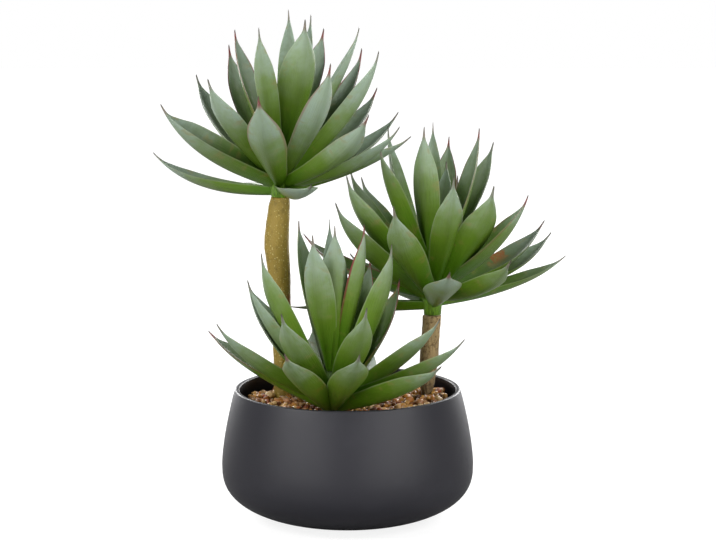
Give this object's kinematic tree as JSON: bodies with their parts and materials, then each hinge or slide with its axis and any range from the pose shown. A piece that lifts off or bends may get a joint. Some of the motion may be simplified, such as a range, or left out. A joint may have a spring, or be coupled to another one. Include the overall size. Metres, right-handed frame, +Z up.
{
  "type": "potted agave",
  "caption": "Artificial potted agave: rosettes of channelled, spine-tipped leaves on bare trunks, in a round bowl pot filled with soil and topped with gravel.",
  "frame": {"origin": "centre of the pot's flat underside", "axes": "+Z up, -Y towards the viewer of the picture, +X to the viewer's right"},
  "size_m": [0.4211, 0.3346, 0.4995],
  "materials": {
    "pot": "smooth charcoal, matt",
    "soil": "rough dark foam filler",
    "pebble": "tumbled, slightly glossy, brown to cream",
    "bark_ochre": "speckled ochre bark",
    "bark_brown": "fibrous tan-brown bark",
    "leaf": "waxy satin, green at the base and blue-grey at the tip"
  },
  "bodies": {
    "root": {"pot": "pot", "soil": "soil", "gravel": "pebble", "trunk_tall": "bark_ochre", "trunk_mid": "bark_brown", "trunk_low": "bark_ochre", "head_tall": "leaf", "head_mid": "leaf", "head_low": "leaf"}
  },
  "joints": []
}
